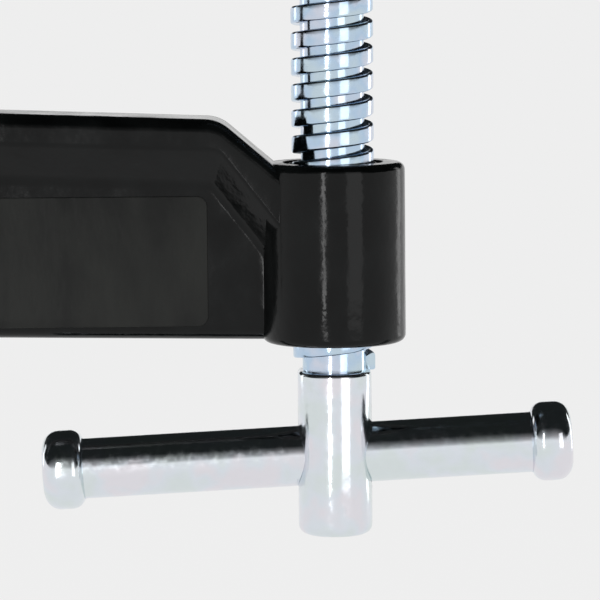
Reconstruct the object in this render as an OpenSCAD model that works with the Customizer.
// C clamp: a cast T-section frame, a coarse-thread screw with a ball-jointed pad,
// and a loose T-bar through the screw's head.
// The origin is the centre of the anvil's working face, on the screw's axis.
// +Z points from the screw's head to the anvil, and the frame's spine is on the -X side.

/* [Jaw] */
// Widest opening between the pad and the anvil
jaw_capacity = 150; // [100:5:200]
// Depth of the throat, from the screw's axis to the spine
throat_depth = 89; // [75:1:120]
// Opening at which the clamp is shown
jaw_opening = 8; // [5:1:60]

/* [Frame section] */
// Width of the flange that faces the throat
flange_w = 19.2; // [17:0.2:21]
// Height of the flange's full-width edge
flange_edge_h = 5.9; // [5:0.1:7]
// Height of the whole flange, from the throat to the web
flange_h = 13; // [10:0.5:16]
// Rounding of the flange's two edges on the throat side
flange_round = 2.7; // [1:0.1:4]
// Thickness of the web
web_t = 6.6; // [5:0.2:9]

/* [Frame outline] */
// Radius of the throat's two corners
corner_r = 14; // [8:0.5:18]
// Slope of both arms' inner edges, in degrees
inner_slope = 2.1; // [0:0.1:3]
// Slope of the lower arm's outer edge, in degrees
outer_slope = 0.8; // [0:0.1:1.5]
// Height of that outer edge above the boss's lower face, at the screw's axis
edge_lift = 0.3; // [0.2:0.1:2]
// Slope of the upper arm's outer edge down to the anvil, in degrees
nose_slope = 20; // [14:1:22]
// Radius of the upper arm's round nose
nose_r = 14; // [11:0.5:15]
// Angle at which the lower flange dips to the boss
bend_angle = 40.5; // [35:0.5:45]
// Distance from the screw's axis to the bend in the lower flange
bend_reach = 22; // [20:0.5:26]
// Height of that bend above the boss
bend_rise = 8.8; // [7:0.2:11]

/* [Boss and anvil] */
// Diameter of the threaded boss
boss_d = 28; // [26:0.5:34]
// Height of the threaded boss
boss_h = 35; // [32:1:42]
// Rounding of the boss's edges
boss_round = 1.5; // [0.5:0.1:2]
// Diameter of the anvil
anvil_d = 26; // [24:0.5:32]
// Height of the anvil, from its working face to its shoulder
anvil_h = 22; // [21:0.5:24]
// Distance that the anvil stands below the upper arm's inner edge
anvil_drop = 8; // [6:0.5:8.5]
// Chamfer round the anvil's working face
anvil_chamfer = 1; // [0.5:0.1:2]

/* [Screw] */
// Outer diameter of the thread
thread_d = 16; // [14:0.5:17]
// Depth of the thread
thread_depth = 1.8; // [1.2:0.1:2]
// Pitch of the thread
thread_pitch = 5; // [4:0.25:6]
// Share of the pitch that the ridge covers at its foot
ridge_foot = 0.54; // [0.45:0.01:0.6]
// Share of the pitch that the ridge covers at its crest
ridge_crest = 0.39; // [0.25:0.01:0.42]
// Hand of the thread
thread_hand = "left"; // [left, right]
// Diameter of the ball at the screw's tip
ball_d = 12.4; // [11.5:0.1:13]
// Diameter of the neck below the ball
neck_d = 8.4; // [7:0.1:9]
// Distance from the ball's centre to the end of the thread
neck_drop = 9; // [8.5:0.5:14]

/* [Head] */
// Width of the screw's head, along the bar
head_w = 14.4; // [13:0.2:17]
// Width of the screw's head, across the bar
head_l = 18.8; // [18:0.2:22]
// Height of the screw's head
head_h = 32; // [27:0.5:40]
// Distance of the cross hole's axis below the middle of the head
hole_offset = 0.7; // [0:0.1:2]
// Rounding of the head's lower edge
head_round = 1.8; // [0.5:0.1:3]
// Rounding of the head's shoulder
shoulder_round = 0.6; // [0.2:0.1:1.5]

/* [Handle] */
// Diameter of the T-bar
bar_d = 11.8; // [10:0.1:12.2]
// Length of the T-bar over its knobs
bar_l = 103.5; // [80:0.5:160]
// How far the T-bar is pushed to the left of the middle
bar_shift = 5.4; // [0:0.1:20]
// Diameter of the knobs
knob_d = 15.5; // [14.5:0.1:20]
// Length of the knobs
knob_l = 8; // [7:0.1:14]
// Rounding of the knobs' outer edges
knob_round = 3.2; // [1:0.1:4]
// Diameter of the spigots that hold the knobs
spigot_d = 8; // [6:0.1:9]
// Length of the spigots
spigot_l = 5; // [3:0.1:5.5]

/* [Pad] */
// Diameter of the pad's face
pad_d = 28; // [24:0.5:34]
// Height of the pad's cylindrical rim
pad_rim_h = 4.5; // [3:0.1:6]
// Chamfer round the pad's face
pad_chamfer = 1; // [0.4:0.1:2]
// Metal between the ball and the pad's face
pad_face_t = 2.5; // [2:0.1:5]
// Wall round the pad's socket
pad_wall = 1.8; // [1.4:0.1:2.6]
// Lip below the retaining ring's groove
pad_lip = 1.4; // [1:0.1:2]
// Wire diameter of the retaining ring
ring_wire_d = 1.2; // [1:0.1:1.4]
// Distance of the retaining ring below the ball's centre
ring_drop = 1.8; // [1.4:0.1:2.2]
// Furthest tilt of the pad, in degrees
pad_tilt = 10; // [4:1:10]

/* [Clearances] */
// Gap between the screw's thread and the boss's thread
thread_gap = 0.25; // [0.2:0.05:0.4]
// Wall of the boss's thread behind its grooves
thread_wall = 0.5; // [0.4:0.1:0.8]
// Running gap round the ball and its ring
ball_gap = 0.06; // [0.04:0.01:0.1]
// Play of the T-bar in the cross hole, on the diameter
bar_play = 0.8; // [0.3:0.05:1.2]
// Least gap between the tilted T-bar and the cross hole
bar_gap = 0.03; // [0.02:0.01:0.06]
// Opening that is left when the head's shoulder meets the boss, with room for the pad's tilt
shut_gap = 2.5; // [2.3:0.1:4]
// Distance from the pad to the boss at the widest opening
open_gap = 3; // [2:0.5:6]

/* [Hidden] */

$fn = 64;
round_steps = 5;        // chords in a quarter-round edge
thread_steps = 24;      // chords in one turn of a thread
fade_steps = 8;         // chords over which a thread's ridge runs out
cut = 1;                // how far a cutter reaches past what it cuts
arm_finish = "#1c1c1e";
zinc_finish = "#cfd6dd";
ring_finish = "#8d9298";

// Pad and ball
ball_r = ball_d / 2;
wire_r = ring_wire_d / 2;
socket_r = ball_r + ball_gap;
ring_r = sqrt(pow(socket_r + wire_r, 2) - pow(ring_drop, 2));
groove_r = ring_r * cos(pad_tilt) + ring_drop * sin(pad_tilt) + wire_r + ball_gap;
groove_half_h = wire_r + (ring_r + wire_r) * sin(pad_tilt) + ball_gap;
skirt_drop = ring_drop + groove_half_h + pad_lip;
pad_h = pad_face_t + socket_r + skirt_drop;
pad_foot_r = groove_r + pad_wall;
ball_z = -jaw_opening - pad_face_t - socket_r;

// Boss and screw
thread_r = thread_d / 2;
root_r = thread_r - thread_depth;
bore_r = thread_r + thread_gap + thread_wall;
boss_r = boss_d / 2;
boss_top = -jaw_capacity - pad_h - open_gap;
boss_bottom = boss_top - boss_h;
shoulder_z = boss_bottom - (jaw_opening - shut_gap);
thread_end_z = ball_z - neck_drop;
turn_sign = thread_hand == "left" ? -1 : 1;
ridge_start_z = shoulder_z + thread_pitch / 20;

// Handle
hole_drop = head_h / 2 + hole_offset;
hole_z = shoulder_z - hole_drop;
hole_r = (bar_d + bar_play) / 2;
bar_tilt = atan((bar_play - 2 * bar_gap) / head_w);
bar_left = -bar_l / 2 - bar_shift;
bar_right = bar_l / 2 - bar_shift;

// Frame outline
web_r = web_t / 2;
flange_r = flange_w / 2;
anvil_r = anvil_d / 2;
corner_x = corner_r - throat_depth;
bend_r = flange_h + web_r / 2;
bend_turn = bend_angle - inner_slope;
bend_tangent = bend_r * tan(bend_turn / 2);
bend_z = boss_top + bend_rise;
bend_x = corner_r * sin(inner_slope) - corner_x - bend_reach;
lower_run = bend_x / cos(inner_slope) - bend_tangent;
lower_corner_z = bend_z + bend_x * tan(inner_slope) + corner_r * cos(inner_slope);
outer_r = (lower_corner_z - boss_bottom - edge_lift) * cos(outer_slope)
    + corner_x * sin(outer_slope);
frame_depth = outer_r - corner_r;
dip_end_x = flange_h * sin(bend_angle) - boss_r / 2;
dip_run = (bend_reach + dip_end_x) / cos(bend_angle) - bend_tangent;
upper_run = (corner_r * sin(inner_slope) - corner_x) / cos(inner_slope);
upper_corner_z = anvil_drop - upper_run * sin(inner_slope) - corner_r * cos(inner_slope);
spine_run = (upper_corner_z - lower_corner_z) / 2 + cut;
nose_x = nose_r - anvil_r + web_r / 2;
nose_run = (-nose_x - corner_x - (outer_r - nose_r) * sin(nose_slope)) / cos(nose_slope);

// Points along an arc about a centre, from one angle to another
function arc(centre, r, from, to, steps = round_steps) = [
    for (i = [0:steps])
        let (a = from + (to - from) * i / steps)
            centre + r * [cos(a), sin(a)]
];

// Half outline of a round bar or disc from z = 0 up to h, with its two rims rounded
function rounded_post(r, h, low_round, high_round) = concat(
    [[0, 0]],
    arc([r - low_round, low_round], low_round, -90, 0),
    arc([r - high_round, h - high_round], high_round, 0, 90),
    [[0, h]]
);

// ---- Frame section: X is the distance from the throat, Y runs across the frame ----

module flange_section() {
    half = concat(
        arc([flange_round, flange_r - flange_round], flange_round, 180, 90),
        [[flange_edge_h, flange_r], [flange_h, web_r]]
    );
    polygon(concat(half, [for (i = [len(half) - 1:-1:0]) [half[i].x, -half[i].y]]));
}

module web_section(start, end) {
    polygon(concat(
        [[start, -web_r]],
        arc([end - web_r, 0], web_r, -90, 90, 2 * round_steps),
        [[start, web_r]]
    ));
}

// ---- Frame outline: drawn with X and Z in the plane, then stood up ----

// Lays a section along -Y, its throat side at x = 0
module straight(run) {
    rotate([90, 0, 0])
        linear_extrude(run)
            children();
}

// Sweeps a section from the middle of the spine, round a corner and along an arm
module corner_and_arm(facing, run) {
    translate([-corner_r, 0, 0])
        rotate([0, 0, 180])
            translate([0, spine_run, 0])
                straight(spine_run)
                    children();
    rotate_extrude(angle = 180 - facing, start = facing)
        translate([corner_r, 0])
            children();
    rotate([0, 0, facing])
        translate([corner_r, 0, 0])
            straight(run)
                children();
}

// The web slopes to the nose, and is cut off inside the flange before it reaches the throat
module upper_half() {
    corner_and_arm(90 + inner_slope, upper_run)
        flange_section();
    difference() {
        corner_and_arm(90 - nose_slope, nose_run)
            web_section(flange_edge_h, frame_depth);
        rotate([0, 0, inner_slope])
            translate([0, -outer_r, -flange_w])
                cube([2 * outer_r, outer_r + corner_r + flange_edge_h / 2, 2 * flange_w]);
    }
    rotate([0, 0, 90 - nose_slope])
        translate([corner_r + frame_depth - nose_r, -nose_run, 0])
            rotate_extrude(angle = 90, start = -90)
                web_section(0, nose_r);
}

// Frame of the lower flange's dip: X runs away from the throat, and the dip runs along -Y
module at_dip() {
    rotate([0, 0, 90 + inner_slope])
        translate([corner_r + bend_r, -lower_run, 0])
            rotate([0, 0, bend_turn])
                translate([-bend_r, 0, 0])
                    children();
}

// The flange bends away from the throat and dips into the boss, and the web stays below it
module lower_half() {
    difference() {
        corner_and_arm(90 + outer_slope, -corner_x)
            web_section(flange_edge_h, frame_depth);
        at_dip()
            translate([flange_edge_h / 2 - 2 * outer_r, -2 * outer_r, -flange_w])
                cube([2 * outer_r, 2 * outer_r + bend_reach, 2 * flange_w]);
    }
    corner_and_arm(90 + inner_slope, lower_run)
        flange_section();
    rotate([0, 0, 90 + inner_slope])
        translate([corner_r + bend_r, -lower_run, 0])
            rotate_extrude(angle = bend_turn, start = 180)
                translate([bend_r, 0])
                    mirror([1, 0])
                        flange_section();
    at_dip()
        straight(dip_run)
            flange_section();
}

module boss() {
    translate([0, 0, boss_bottom])
        rotate_extrude()
            polygon(rounded_post(boss_r, boss_h, boss_round, boss_round));
}

module anvil() {
    rotate_extrude()
        polygon(concat(
            [[0, 0], [anvil_r - anvil_chamfer, 0], [anvil_r, anvil_chamfer]],
            arc([anvil_r - boss_round, anvil_h - boss_round], boss_round, 0, 90),
            [[0, anvil_h]]
        ));
}

module boss_bore() {
    translate([0, 0, boss_bottom - cut])
        cylinder(r = bore_r, h = boss_h + 2 * cut);
}

module frame() {
    color(arm_finish)
        difference() {
            union() {
                rotate([90, 0, 0]) {
                    translate([corner_x, upper_corner_z, 0])
                        upper_half();
                    translate([corner_x, lower_corner_z, 0])
                        mirror([0, 1, 0])
                            lower_half();
                }
                boss();
                anvil();
            }
            boss_bore();
        }
}

// ---- Threads ----

// Height of corner j of the ridge above the ridge's lower edge
function ridge_height(j) =
    let (flank = (ridge_foot - ridge_crest) / 2)
        thread_pitch * [0, flank, flank + ridge_crest, ridge_foot][j];

// Radius of corner j at step i: the ridge runs out to end_r at both ends of the helix,
// and its lower corner stays there through the first turn, with nothing below it
function ridge_radius(i, j, steps, low_r, high_r, end_r) =
    let (
        full_r = j == 1 || j == 2 ? high_r : low_r,
        first_step = j == 0 ? thread_steps : 0,
        share = max(0, min(1, (i - first_step) / fade_steps, (steps - i) / fade_steps))
    )
        end_r + (full_r - end_r) * share;

// Corner j of the ridge at step i of the helix, which starts at height start_z
function ridge_point(i, j, steps, start_z, low_r, high_r, end_r) =
    let (
        r = ridge_radius(i, j, steps, low_r, high_r, end_r),
        a = turn_sign * 360 * i / thread_steps
    )
        [r * cos(a), r * sin(a), start_z + thread_pitch * i / thread_steps + ridge_height(j)];

function ring_points(r, z, first) = [
    for (i = [0:thread_steps - 1])
        let (a = turn_sign * 360 * (first + i) / thread_steps)
            [r * cos(a), r * sin(a), z]
];

// The ridge's four corners at each step, then the root line's last turn, then the two end rings
function thread_points(steps, start_z, low_z, high_z, low_r, high_r, end_r) = concat(
    [for (i = [0:steps], j = [0:3]) ridge_point(i, j, steps, start_z, low_r, high_r, end_r)],
    [for (i = [1:thread_steps]) [
        end_r * cos(turn_sign * 360 * (steps + i) / thread_steps),
        end_r * sin(turn_sign * 360 * (steps + i) / thread_steps),
        start_z + thread_pitch * (steps + i) / thread_steps
    ]],
    ring_points(end_r, low_z, 0),
    ring_points(end_r, high_z, steps)
);

// Index of corner j at step i: past the last step, only the root line goes on
function corner(i, j, steps) = i <= steps ? 4 * i + j : 4 * (steps + 1) + (i - steps) - 1;
function low_ring(i, steps) = 4 * (steps + 1) + thread_steps + i % thread_steps;
function high_ring(i, steps) = low_ring(0, steps) + thread_steps + i % thread_steps;

function thread_faces(steps) = concat(
    // The ridge, from its lower flank to its upper flank
    [for (i = [0:steps - 1], j = [0:2]) [
        corner(i, j, steps), corner(i + 1, j, steps),
        corner(i + 1, j + 1, steps), corner(i, j + 1, steps)
    ]],
    // The root, from the ridge up to the next turn
    [for (i = [0:steps - 1]) [
        corner(i, 3, steps), corner(i + 1, 3, steps),
        corner(i + 1 + thread_steps, 0, steps), corner(i + thread_steps, 0, steps)
    ]],
    // The plain stretch below the first turn
    [for (i = [0:thread_steps - 2]) [
        low_ring(i, steps), low_ring(i + 1, steps), corner(i + 1, 0, steps), corner(i, 0, steps)
    ]],
    [concat(
        [corner(thread_steps - 1, 0, steps), low_ring(thread_steps - 1, steps), low_ring(0, steps)],
        [for (j = [0:3]) corner(0, j, steps)],
        [corner(thread_steps, 0, steps)]
    )],
    // The plain stretch above the last turn
    [for (i = [1:thread_steps - 1]) [
        corner(steps + i, 0, steps), corner(steps + i + 1, 0, steps),
        high_ring(i + 1, steps), high_ring(i, steps)
    ]],
    [concat(
        [corner(steps + 1, 0, steps), high_ring(1, steps), high_ring(0, steps)],
        [corner(steps + thread_steps, 0, steps)],
        [for (j = [3:-1:0]) corner(steps, j, steps)]
    )]
);

// Turns faces inside out, and keeps each face's first point first
function flipped(faces) = [
    for (f = faces) [for (k = [0:len(f) - 1]) f[(len(f) - k) % len(f)]]
];

// Faces are listed for a left-hand helix, and turned inside out for a right-hand one
function for_hand(faces) = turn_sign < 0 ? faces : flipped(faces);

// Threaded rod from low_z to high_z
module threaded_rod(low_z, high_z, start_z) {
    steps = floor((high_z - start_z) / thread_pitch - 1) * thread_steps;
    caps = [
        [for (i = [thread_steps - 1:-1:0]) low_ring(i, steps)],
        [for (i = [0:thread_steps - 1]) high_ring(i, steps)]
    ];
    polyhedron(
        points = thread_points(steps, start_z, low_z, high_z, root_r, thread_r, root_r),
        faces = for_hand(concat(thread_faces(steps), caps))
    );
}

// ---- Pieces ----

module boss_thread() {
    low_z = boss_bottom + thread_gap;
    high_z = boss_top - thread_gap;
    step_rise = thread_pitch / thread_steps;
    skipped_steps = ceil((low_z + thread_gap - ridge_start_z) / step_rise);
    start_z = ridge_start_z + skipped_steps * step_rise;
    steps = floor((high_z - start_z) / thread_pitch - 1) * thread_steps;
    inner_r = root_r + thread_gap;
    groove_thread_r = thread_r + thread_gap;
    inner = thread_points(
        steps, start_z, low_z, high_z, inner_r, groove_thread_r, groove_thread_r
    );
    low_outer = len(inner);
    high_outer = low_outer + thread_steps;
    next = function (i) (i + 1) % thread_steps;
    shell = concat(
        [for (i = [0:thread_steps - 1]) [
            low_outer + i, low_outer + next(i), high_outer + next(i), high_outer + i
        ]],
        [for (i = [0:thread_steps - 1]) [
            low_ring(i, steps), low_ring(next(i), steps), low_outer + next(i), low_outer + i
        ]],
        [for (i = [0:thread_steps - 1]) [
            high_ring(i, steps), high_outer + i, high_outer + next(i), high_ring(next(i), steps)
        ]]
    );
    color(arm_finish)
        rotate([0, 0, turn_sign * 360 * skipped_steps / thread_steps])
            polyhedron(
                points = concat(
                    inner, ring_points(bore_r, low_z, 0), ring_points(bore_r, high_z, steps)
                ),
                faces = for_hand(concat(flipped(thread_faces(steps)), shell))
            );
}

// Head: a stadium in plan, with a cross hole for the T-bar
module head() {
    profile = rounded_post(head_w / 2, head_h, head_round, shoulder_round);
    offset_y = (head_l - head_w) / 2;
    difference() {
        translate([0, 0, -head_h])
            union() {
                for (side = [-1, 1])
                    translate([0, side * offset_y, 0])
                        rotate_extrude(angle = 180, start = side > 0 ? 0 : 180)
                            polygon(profile);
                rotate([90, 0, 0])
                    translate([0, 0, -offset_y])
                        linear_extrude(2 * offset_y) {
                            polygon(profile);
                            mirror([1, 0])
                                polygon(profile);
                        }
            }
        translate([-head_w, 0, -hole_drop])
            rotate([0, 90, 0])
                cylinder(r = hole_r, h = 2 * head_w);
    }
}

module screw() {
    color(zinc_finish)
        union() {
            translate([0, 0, shoulder_z])
                head();
            threaded_rod(shoulder_z - cut, thread_end_z, ridge_start_z);
            translate([0, 0, thread_end_z - cut])
                cylinder(d = neck_d, h = neck_drop + cut);
            translate([0, 0, ball_z])
                sphere(r = ball_r);
        }
}

// Lays a piece that is drawn along +Z on the T-bar's axis, with z = 0 at the head
module on_bar() {
    translate([0, 0, hole_z])
        rotate([0, 90 - bar_tilt, 0])
            children();
}

module handle_bar() {
    color(zinc_finish)
        on_bar() {
            translate([0, 0, bar_left + knob_l])
                cylinder(d = bar_d, h = bar_l - 2 * knob_l);
            translate([0, 0, bar_left + knob_l - spigot_l])
                cylinder(d = spigot_d, h = bar_l - 2 * (knob_l - spigot_l));
        }
}

// Knob with its seat at z = 0 and its domed end up
module knob() {
    knob_r = knob_d / 2;
    seat_r = (bar_d + knob_d) / 4;
    difference() {
        rotate_extrude()
            polygon(concat(
                [[0, 0], [seat_r, 0], [knob_r, knob_l / 3]],
                arc([knob_r - knob_round, knob_l - knob_round], knob_round, 0, 90),
                [[0, knob_l]]
            ));
        translate([0, 0, -cut])
            cylinder(d = spigot_d, h = spigot_l + cut);
    }
}

module handle_knob_left() {
    color(zinc_finish)
        on_bar()
            translate([0, 0, bar_left + knob_l])
                rotate([180, 0, 0])
                    knob();
}

module handle_knob_right() {
    color(zinc_finish)
        on_bar()
            translate([0, 0, bar_right - knob_l])
                knob();
}

// Pad drawn about the ball's centre, with a round groove for the retaining ring
module swivel_pad() {
    pad_r = pad_d / 2;
    face_z = socket_r + pad_face_t;
    color(zinc_finish)
        translate([0, 0, ball_z])
            difference() {
                rotate_extrude()
                    polygon([
                        [0, face_z], [0, -skirt_drop], [pad_foot_r, -skirt_drop],
                        [pad_r, face_z - pad_rim_h], [pad_r, face_z - pad_chamfer],
                        [pad_r - pad_chamfer, face_z]
                    ]);
                sphere(r = socket_r);
                translate([0, 0, -skirt_drop - cut])
                    cylinder(r = socket_r, h = skirt_drop + cut);
                translate([0, 0, -ring_drop - groove_half_h])
                    cylinder(r = groove_r, h = 2 * groove_half_h);
            }
}

module pad_ring() {
    color(ring_finish)
        translate([0, 0, ball_z - ring_drop])
            rotate_extrude()
                translate([ring_r, 0])
                    circle(r = wire_r);
}

frame();
boss_thread();
screw();
handle_bar();
handle_knob_left();
handle_knob_right();
swivel_pad();
pad_ring();
